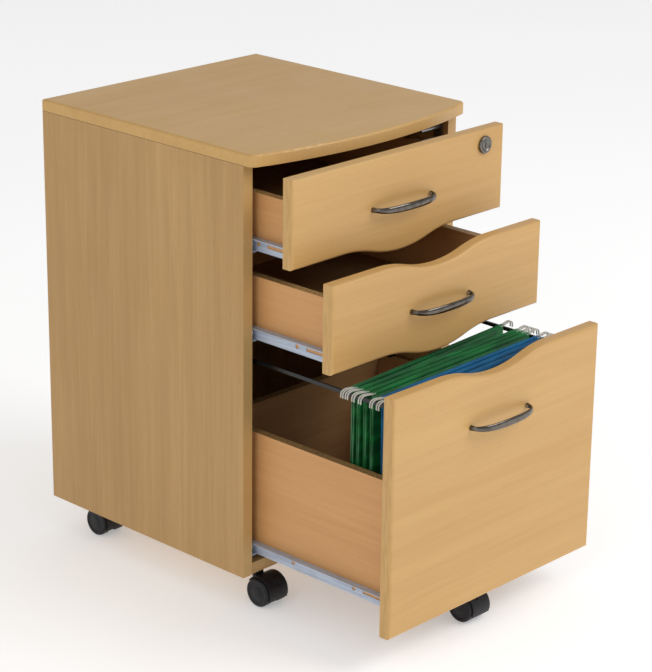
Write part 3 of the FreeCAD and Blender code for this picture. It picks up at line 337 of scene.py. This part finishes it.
def gunmetal():
    """Nickel-plated lock face: turned rings half a millimetre apart under a bright plating."""
    material, tree, shader, place = start_material("turned_nickel", Metallic=1.0)
    low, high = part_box("lock_plug")
    middle = (low + high) / 2
    off = add(tree, "VectorMath", {0: place, 1: (middle.x, 0, middle.z + 6 * MM)},
              operation="SUBTRACT").outputs[0]
    radius = add(tree, "VectorMath", {0: scaled(tree, off, (1, 0, 1))}, operation="LENGTH").outputs[1]
    rings = calc(tree, "SINE", calc(tree, "MULTIPLY", radius, 2 * np.pi / (0.5 * MM)))
    fine = noise(tree, place, 1200, 3.0)
    colour = mixed(tree, fine, "#858079", "#5F5B56")
    rough = calc(tree, "ADD", 0.15, calc(tree, "MULTIPLY", fine, 0.16))
    connect(tree, shader, colour, rough, rings, 0.003 * MM)
    return material


def card(name, pale, deep, half):
    """Manila card of a suspension file: 0.3 mm fibres, soft creases raised by a bump and darkened with painted
    shade, pale strips down its sides.
    """
    material, tree, shader, place = start_material(name, IOR=1.45)
    fibre = noise(tree, scaled(tree, place, (1, 1, 0.3)), 1500, 3.0)
    crease_relief_and_shade = noise(tree, scaled(tree, place, (0.25, 1, 1)), 60, 3.0)
    # painted shade: the card darkens towards its deep colour in the creases, which the bump below also raises
    colour = mixed(tree, spread(tree, crease_relief_and_shade, 0.35, 0.7), deep, pale)
    colour = mixed(tree, calc(tree, "MULTIPLY", fibre, 0.25), colour, pale)
    across = calc(tree, "ABSOLUTE", axis_of(tree, place, "X"))
    strip = spread(tree, across, half - 1.6 * MM, half - 1.2 * MM)
    broken = spread(tree, noise(tree, scaled(tree, place, (1, 1, 0.12)), 120, 3.0), 0.42, 0.62)
    colour = mixed(tree, calc(tree, "MULTIPLY", calc(tree, "MULTIPLY", strip, broken), 0.55), colour, "#6FA07C")
    height = calc(tree, "ADD", fibre, calc(tree, "MULTIPLY", crease_relief_and_shade, 2.0))
    connect(tree, shader, colour, spread(tree, fibre, 0.3, 0.7, 0.55, 0.7), height, 0.08 * MM)
    return material


def hook_plastic():
    """Off-white polystyrene hooks of the file bars, with faint flow marks."""
    material, tree, shader, place = start_material("white_polystyrene", IOR=1.55)
    flow = noise(tree, scaled(tree, place, (0.3, 1, 1)), 400, 3.0)
    colour = mixed(tree, flow, "#D6D5CC", "#ABAAA0")
    connect(tree, shader, colour, spread(tree, flow, 0.3, 0.7, 0.28, 0.42), flow, 0.02 * MM)
    return material


def castor_plastic():
    """Black moulded polyamide: 0.7 mm spark-eroded grain, paler scuffs."""
    material, tree, shader, place = start_material("black_polyamide", IOR=1.45, Specular_IOR_Level=0.35)
    grain = noise(tree, place, 1400, 2.0)
    scuffs = spread(tree, noise(tree, scaled(tree, place, (1, 1, 1.6)), 140, 5.0), 0.58, 0.75)
    colour = mixed(tree, spread(tree, noise(tree, place, 50, 3.0), 0.35, 0.7), "#17171A", "#202023")
    colour = mixed(tree, calc(tree, "MULTIPLY", scuffs, 0.35), colour, "#3A3A39")
    rough = calc(tree, "ADD", spread(tree, grain, 0.3, 0.7, 0.34, 0.46), calc(tree, "MULTIPLY", scuffs, 0.12))
    connect(tree, shader, colour, rough, grain, 0.04 * MM)
    return material


def floor_paper():
    """Seamless studio paper, lit from behind: nearly white, with a faint matt tooth."""
    material, tree, shader, place = start_material("studio_paper", IOR=1.4, Emission_Strength=0.33,
                                                    Emission_Color=(1, 1, 1, 1))
    tooth = noise(tree, place, 700, 2.0)
    colour = mixed(tree, noise(tree, place, 1.5, 2.0), "#FAFAFA", "#F6F6F6")
    connect(tree, shader, colour, spread(tree, tooth, 0.3, 0.7, 0.75, 0.85), tooth, 0.02 * MM)
    return material


def dress(material, *names):
    """Gives frame nodes a material."""
    for name in names:
        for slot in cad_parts[name].material_slots:
            slot.material = material


# ---------------------------------------------------------------- settings

def colour_property(name, description, code):
    return bpy.props.FloatVectorProperty(name=name, description=description, subtype="COLOR", size=3,
                                         min=0, max=1, default=linear(code))


def length_property(name, description, millimetres, low=0.1, high=100):
    return bpy.props.FloatProperty(name=name, description=description, unit="LENGTH", precision=4,
                                   min=low * MM, max=high * MM, default=millimetres * MM)


class PedestalBoardSettings(bpy.types.PropertyGroup):
    side_pale: colour_property("Sides, pale", "Pale grain of the side panels", "#C8A168")
    side_deep: colour_property("Sides, deep", "Deep grain of the side panels", "#AA814B")
    top_pale: colour_property("Top, pale", "Pale grain of the top panel", "#D5AC69")
    top_deep: colour_property("Top, deep", "Deep grain of the top panel", "#C29553")
    front_pale: colour_property("Fronts, pale", "Pale grain of the drawer fronts", "#D8AF70")
    front_deep: colour_property("Fronts, deep", "Deep grain of the drawer fronts", "#C29557")


class PedestalHandleSettings(bpy.types.PropertyGroup):
    neck: length_property("Neck", "Half the height of a handle's bow beside its feet", 2.9)
    belly: length_property("Belly", "Half the height of a handle's bow in its middle", 5.1)
    thickness: length_property("Thickness", "Half the thickness of a handle's bow", 2.3)
    flare: length_property("Flare", "How much a handle's foot spreads on the front", 1.2)
    fullness: bpy.props.FloatProperty(
        name="Fullness", description="How square the bow is, seen from above", min=0.4, max=1,
        default=0.74, subtype="FACTOR")


class PedestalLockSettings(bpy.types.PropertyGroup):
    shoulder: length_property("Shoulder", "Rounding of the lock rim's shoulder", 1.6)


class PedestalFileSettings(bpy.types.PropertyGroup):
    gape: length_property("Gape", "Distance between the two bars of a file", 3.6)
    wave: length_property("Wave", "How far the card bulges", 1.1)
    card: length_property("Card", "Thickness of the card", 0.5)
    blue_pale: colour_property("Blue, pale", "Lit fibres of the blue card", "#006A9E")
    blue_crease_shade: colour_property("Blue, deep", "Creases of the blue card", "#005280")
    green_pale: colour_property("Green, pale", "Lit fibres of the green card", "#0E7A38")
    green_crease_shade: colour_property("Green, deep", "Creases of the green card", "#034A20")


class PedestalCastorSettings(bpy.types.PropertyGroup):
    dish: length_property("Dish", "Depth of the dished face of a wheel", 0.9)
    tread: length_property("Tread", "Rounding of a wheel's tread", 3.0)


class PedestalStageSettings(bpy.types.PropertyGroup):
    key: bpy.props.FloatProperty(name="Key light", description="Power of the large soft light",
                                 subtype="POWER", min=0, default=42)
    surround: bpy.props.FloatProperty(name="Surround", description="Brightness of the room around",
                                      min=0, default=0.54)
    lens: bpy.props.FloatProperty(name="Lens", description="Focal length for a 36 mm frame",
                                  unit="CAMERA", min=10, default=126.1)


# ---------------------------------------------------------------- operators

class PEDESTAL_OT_carcass(bpy.types.Operator):
    """Beech-effect melamine for the carcass and metal for its fittings"""

    bl_idname = "pedestal.carcass"
    bl_label = "Carcass"

    def execute(self, context):
        shape = context.scene.pedestal_boards
        under_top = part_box("top_panel")[0].z
        dress(board("beech_melamine_sides", "Z", shape.side_pale, shape.side_deep, "#C7A269", "Y",
                    gloss=0.42, seam_shade_height=under_top, contrast=0.75),
              "left_side_panel", "right_side_panel")
        dress(board("beech_melamine_back", "Z", "#C6A26B", "#A9844F", gloss=0.45), "back_panel")
        dress(board("beech_melamine_bottom", "X", "#C6A26B", "#A9844F", gloss=0.45), "bottom_panel")
        dress(board("beech_foil_top", "X", shape.top_pale, shape.top_deep, "#CFA467", "Y",
                    gloss=0.30, contrast=0.75), "top_panel")
        dress(zinc(), "cam_fittings", "runner_screws", "castor_stems", "lock_bar",
              "lock_bar_guides", *[f"drawer_{n}_catch_pin" for n in DRAWERS],
              *[f"handle_{n}_screws" for n in DRAWERS])
        return {"FINISHED"}


class PEDESTAL_OT_fronts(bpy.types.Operator):
    """Foil-wrapped drawer fronts with a level grain"""

    bl_idname = "pedestal.fronts"
    bl_label = "Drawer fronts"

    def execute(self, context):
        shape = context.scene.pedestal_boards
        dress(board("beech_foil_fronts", "X", shape.front_pale, shape.front_deep, "#C2985B", "X",
                    gloss=0.34, contrast=0.62), *[f"drawer_{n}_front" for n in DRAWERS])
        return {"FINISHED"}


class PEDESTAL_OT_boxes(bpy.types.Operator):
    """Paper-foiled drawer boxes with raw brown upper edges"""

    bl_idname = "pedestal.boxes"
    bl_label = "Drawer boxes"

    def execute(self, context):
        dress(board("beech_paper_sides", "Y", "#DAA66D", "#C28B54", "#8E7247", "Z", 0.5, contrast=0.7),
              *[f"drawer_{n}_{side}_side" for n in DRAWERS for side in ("left", "right")])
        dress(board("beech_paper_backs", "X", "#CFA070", "#B58455", "#8E7247", "Z", 0.5),
              *[f"drawer_{n}_back" for n in DRAWERS])
        dress(board("printed_hardboard", "Y", "#A9835A", "#8D6A44", gloss=0.5),
              *[f"drawer_{n}_bottom" for n in DRAWERS])
        return {"FINISHED"}


class PEDESTAL_OT_runners(bpy.types.Operator):
    """Epoxy-coated runners, nylon rollers and the black hanging rails"""

    bl_idname = "pedestal.runners"
    bl_label = "Runners and rails"

    def execute(self, context):
        dress(coated_steel(), "left_cabinet_runners", "right_cabinet_runners",
              *[f"drawer_{n}_runners" for n in DRAWERS])
        dress(nylon(), *[f"{end}_rollers_{n}" for n in DRAWERS for end in ("front", "rear")])
        dress(black_steel(), "hanging_rails", "castor_5_mount")
        return {"FINISHED"}


class PEDESTAL_OT_handles(bpy.types.Operator):
    """Cast bow handles: a bar that widens to its middle and ends in two flared feet"""

    bl_idname = "pedestal.handles"
    bl_label = "Handles"

    def execute(self, context):
        shape = context.scene.pedestal_handles
        material = dark_chrome()
        turn = np.linspace(0, np.pi, 97)
        for n in DRAWERS:
            low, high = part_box(f"handle_{n}")
            centre = (low + high) / 2
            # the bow, seen from above: x = a cos(t)^f, y = -b sin(t)^f, f below 1 for squarer ends
            cos = np.sign(np.cos(turn)) * np.abs(np.cos(turn)) ** shape.fullness
            sin = np.sin(turn) ** (shape.fullness * 1.05)
            reach = high.y - low.y - shape.thickness
            foot = shape.thickness + shape.flare
            path = np.stack([centre.x - ((high.x - low.x) / 2 - foot) * cos, high.y - reach * sin,
                             np.full(len(turn), centre.z)], -1)
            rise = np.abs(path[:, 1] - high.y)
            spread_out = shape.flare * np.exp(-(rise / (4.5 * MM)) ** 2)
            middle = np.sin(turn) ** 1.5
            half_side = shape.neck + (shape.belly - shape.neck) * middle + 0.5 * spread_out
            half_up = shape.thickness * (0.82 + 0.18 * middle) + spread_out
            half_side = np.minimum(half_side, (high.z - low.z) / 2)
            piece = build(f"bow_handle_{n}", [sweep(path, (0, 0, 1), half_side, half_up, 2.2, 32)], material, 60)
            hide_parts(f"handle_{n}")
            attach(piece, f"drawer_{n}")
        return {"FINISHED"}


class PEDESTAL_OT_lock(bpy.types.Operator):
    """Round lock rim turned from one profile, and the plug's plating"""

    bl_idname = "pedestal.lock"
    bl_label = "Lock"

    def execute(self, context):
        material = gunmetal()
        dress(material, "lock_plug")
        low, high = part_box("lock_housing")
        middle = (low + high) / 2
        rim = (high.x - low.x) / 2
        shoulder = context.scene.pedestal_lock.shoulder
        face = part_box("drawer_1_front")[0].y - low.y
        bore, barrel, depth = 6.55 * MM, 9 * MM, high.y - low.y
        bend = np.linspace(0, np.pi / 2, 9)
        # profile from the bore's mouth: a cupped ring, a raised lip, a rounded shoulder, the barrel
        lip = [(2.6 * MM, bore), (1.2 * MM, bore + 0.2 * MM), (0.9 * MM, bore + 1.0 * MM),
               (0.15 * MM, bore + 1.7 * MM), (0.0, bore + 2.3 * MM), (0.0, rim - shoulder - 0.6 * MM)]
        round_off = np.stack([shoulder * (1 - np.cos(bend)), rim - shoulder * (1 - np.sin(bend))], -1)
        rest = [(face - 0.2 * MM, rim), (face, rim - 0.2 * MM), (face, barrel), (depth, barrel), (depth, bore)]
        profile = np.vstack([lip, round_off, rest])
        piece = build("lock_rim", [lathe(profile, (middle.x, low.y, middle.z), "Y", 96)], material, 35)
        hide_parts("lock_housing")
        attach(piece, "drawer_1")
        return {"FINISHED"}


class PEDESTAL_OT_castors(bpy.types.Operator):
    """Twin-wheel castors: dished wheels under a rounded hood"""

    bl_idname = "pedestal.castors"
    bl_label = "Castors"

    def execute(self, context):
        shape = context.scene.pedestal_castors
        material = castor_plastic()
        bend = np.linspace(0, np.pi / 2, 8)
        for n in CASTORS:
            low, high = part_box(f"castor_{n}_wheels")
            centre = (low + high) / 2
            radius, outer = (high.z - low.z) / 2, (high.x - low.x) / 2
            inner, bore = outer - 12.5 * MM, 3.05 * MM
            corner = shape.tread
            # from the bore: flat inner face, rounded tread, bevelled rim, dished face, raised hub
            tread = np.stack([outer - corner + corner * np.sin(bend), radius - corner + corner * np.cos(bend)], -1)
            profile = np.vstack([
                [(inner, bore), (inner, radius - 1.2 * MM), (inner + 0.5 * MM, radius - 0.3 * MM),
                 (inner + 1.4 * MM, radius)], tread,
                [(outer, radius - 4.4 * MM), (outer - shape.dish, radius - 5.6 * MM),
                 (outer - shape.dish, 7.4 * MM), (outer - shape.dish + 0.5 * MM, 6.6 * MM),
                 (outer - 0.15 * MM, 6.0 * MM), (outer, 5.0 * MM), (outer, 0), (outer - 5.2 * MM, 0),
                 (outer - 5.2 * MM, bore)]])
            pair = [lathe(profile * (sign, 1), centre, "X", 72) for sign in (-1, 1)]
            piece = build(f"castor_wheel_pair_{n}", pair, material, 35)
            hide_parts(f"castor_{n}_wheels")
            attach(piece, f"castor_{n}_wheels")

            hood_low, hood_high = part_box(f"castor_{n}_hood")
            top = hood_high.z
            half = 17 * MM
            stem_y = centre.y + 18 * MM
            shell = arch(centre, half, radius + 0.6 * MM, radius + 2.5 * MM, 34, 204)
            web = arch(centre, 7.5 * MM, bore, radius + 1.5 * MM, -20, 208, 8.0)
            nib = arch(centre, 5 * MM, radius + 2 * MM, radius + 4.2 * MM, 128, 146, 3.0, 14)
            boss = sweep(np.stack([np.full(6, centre.x), np.full(6, stem_y),
                                   np.linspace(19 * MM, top, 6)], -1), (1, 0, 0), 7.5 * MM, 7.5 * MM)
            axle = sweep(np.stack([np.linspace(-15 * MM, 15 * MM, 4) + centre.x, np.full(4, centre.y),
                                   np.full(4, centre.z)], -1), (0, 0, 1), 3 * MM, 3 * MM)
            piece = build(f"castor_cover_{n}", [shell, web, nib, boss, axle], material, 40)
            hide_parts(f"castor_{n}_hood")
            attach(piece, f"castor_{n}_hood")
        return {"FINISHED"}


# left end, right end (metres behind the file drawer's front) and colour of each suspension file
FILES = ((0.031, 0.040, "blue"), (0.042, 0.050, "blue"), (0.061, 0.068, "green"),
         (0.072, 0.077, "green"), (0.083, 0.086, "green"), (0.092, 0.113, "green"))


class PEDESTAL_OT_files(bpy.types.Operator):
    """Suspension files: a folded card between two bars that hook over the rails"""

    bl_idname = "pedestal.files"
    bl_label = "Suspension files"

    def execute(self, context):
        shape = context.scene.pedestal_files
        low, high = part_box("suspension_files")
        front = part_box("drawer_3_front")[1].y
        half, bar_half = 158 * MM, high.x
        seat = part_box("hanging_rails")[1].z
        cards = {"blue": card("blue_manila_card", shape.blue_pale, shape.blue_crease_shade, half),
                 "green": card("green_manila_card", shape.green_pale, shape.green_crease_shade, half)}
        white = hook_plastic()
        across = np.linspace(-1, 1, 65)
        down = np.linspace(-1, 1, 49)
        for number, (left, right, colour) in enumerate(FILES, start=1):
            run = front + left + (right - left) * (across + 1) / 2
            slope = (right - left) / (2 * half)
            # the card: z falls from both bars to the fold, y = run +- gape/2 * |s|^0.6, with a bulge
            # wave * sin(pi |s|) * sin(1.4 pi x + number), with s and x from -1 to 1
            s = down[None, :]
            bulge = shape.wave * np.sin(np.pi * np.abs(s)) * np.sin(np.pi * across[:, None] * 1.4 + number)
            y = run[:, None] + np.sign(s) * shape.gape / 2 * np.abs(s) ** 0.6 + bulge
            z = seat + 2 * MM - (seat + 2 * MM - low.z) * (1 - np.abs(s)) * np.ones_like(y)
            x = np.broadcast_to(half * across[:, None], y.shape)
            sheet = build(f"file_card_{number}", [grid(np.stack([x, y, z], -1))], cards[colour], 60)
            solid = sheet.modifiers.new("Card", "SOLIDIFY")
            solid.thickness = shape.card
            solid.offset = 0
            sleeves, hooks = [], []
            for way in (-1, 1):
                off = way * shape.gape / 2
                bar = np.stack([across * half, run + off, np.full(len(across), seat + 3.4 * MM)], -1)
                sleeves.append(sweep(bar, (0, 0, 1), 2.4 * MM, 0.8 * MM, 2.4, 12))
                for sign in (-1, 1):
                    line = np.array([(half - 6 * MM, 3.6), (half, 3.8), (half + 5 * MM, 4.6),
                                     (half + 12 * MM, 5.8), (bar_half - 5 * MM, 5.6), (bar_half - 1.6 * MM, 3.2),
                                     (bar_half - 1.1 * MM, 0), (bar_half - 1.6 * MM, -3.6)])
                    xs = sign * line[:, 0]
                    middle = front + (left + right) / 2 + slope * xs + off
                    path = smooth_path(np.stack([xs, middle, seat + line[:, 1] * MM], -1), 26)
                    hooks.append(sweep(path, (0, 1, 0), 0.9 * MM, 0.95 * MM, 3.0, 12))
            sleeve = build(f"file_sleeves_{number}", sleeves, cards[colour], 60)
            hook = build(f"file_hooks_{number}", hooks, white, 50)
            for piece in (sheet, sleeve, hook):
                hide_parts("suspension_files")
                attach(piece, "drawer_3")
        return {"FINISHED"}


def camera_matrix(right, down, forward, place):
    """The camera's matrix from its right, down and forward directions and its place."""
    turned = Matrix((right, [-one for one in down], [-one for one in forward])).transposed()
    return Matrix.Translation(place) @ turned.to_4x4()


class PEDESTAL_OT_stage(bpy.types.Operator):
    """Pale floor, soft studio light and the camera"""

    bl_idname = "pedestal.stage"
    bl_label = "Stage"

    def execute(self, context):
        shape = context.scene.pedestal_stage
        scene = context.scene
        side = np.linspace(-14, 14, 15)
        x, y = np.meshgrid(side, side, indexing="ij")
        floor = build("floor", [grid(np.stack([x, y, np.full_like(x, -0.2 * MM)], -1))], floor_paper())

        world = bpy.data.worlds.new("studio")
        world.use_nodes = True
        world.node_tree.nodes.clear()
        background = add(world.node_tree, "Background", {"Color": (1, 1, 1, 1), "Strength": shape.surround})
        output = add(world.node_tree, "OutputWorld")
        world.node_tree.links.new(background.outputs[0], output.inputs[0])
        scene.world = world

        for name, place, size, power in (("key_softbox", (1.3, -2.7, 2.5), (2.2, 1.4), shape.key),
                                         ("side_softbox", (-2.6, -1.2, 1.6), (1.2, 1.6), shape.key * 0.22)):
            light = bpy.data.lights.new(name, "AREA")
            light.shape = "RECTANGLE"
            light.size, light.size_y = size
            light.energy = power
            lamp = bpy.data.objects.new(name, light)
            lamp.location = place
            aim = Vector((0, -0.25, 0.35)) - Vector(place)
            lamp.rotation_euler = aim.to_track_quat("-Z", "Y").to_euler()
            scene.collection.objects.link(lamp)

        data = bpy.data.cameras.new("camera")
        data.sensor_width = 36
        data.lens = shape.lens
        data.clip_start, data.clip_end = 0.05, 60
        camera = bpy.data.objects.new("camera", data)
        camera.matrix_world = camera_matrix((0.69171, -0.72207, 0.01182), (-0.23436, -0.23992, -0.94208),
                                            (0.68309, 0.64888, -0.33518), (-2.1753, -2.4065, 1.3951))
        scene.collection.objects.link(camera)
        scene.camera = camera
        scene.view_settings.view_transform = "Standard"
        return {"FINISHED"}


OPERATORS = (PEDESTAL_OT_carcass, PEDESTAL_OT_fronts, PEDESTAL_OT_boxes, PEDESTAL_OT_runners,
             PEDESTAL_OT_handles, PEDESTAL_OT_lock, PEDESTAL_OT_castors, PEDESTAL_OT_files, PEDESTAL_OT_stage)
SETTINGS = {"pedestal_boards": PedestalBoardSettings, "pedestal_handles": PedestalHandleSettings,
            "pedestal_lock": PedestalLockSettings, "pedestal_castors": PedestalCastorSettings,
            "pedestal_files": PedestalFileSettings, "pedestal_stage": PedestalStageSettings}


class PEDESTAL_PT_panel(bpy.types.Panel):
    """Lists the pieces and their settings"""

    bl_idname = "PEDESTAL_PT_panel"
    bl_label = "Pedestal"
    bl_space_type = "VIEW_3D"
    bl_region_type = "UI"
    bl_category = "Pedestal"

    def draw(self, context):
        for operator in OPERATORS:
            self.layout.operator(operator.bl_idname)
        for name in SETTINGS:
            group = getattr(context.scene, name)
            box = self.layout.box()
            for key in group.__annotations__:
                box.prop(group, key)


def register():
    for kind in (*SETTINGS.values(), *OPERATORS, PEDESTAL_PT_panel):
        bpy.utils.register_class(kind)
    for name, kind in SETTINGS.items():
        setattr(bpy.types.Scene, name, bpy.props.PointerProperty(type=kind))


def unregister():
    for name in SETTINGS:
        delattr(bpy.types.Scene, name)
    for kind in (PEDESTAL_PT_panel, *reversed(OPERATORS), *SETTINGS.values()):
        bpy.utils.unregister_class(kind)


def main():
    register()
    for operator in OPERATORS:
        group, name = operator.bl_idname.split(".")
        getattr(getattr(bpy.ops, group), name)()


if __name__ == "__main__":
    main()
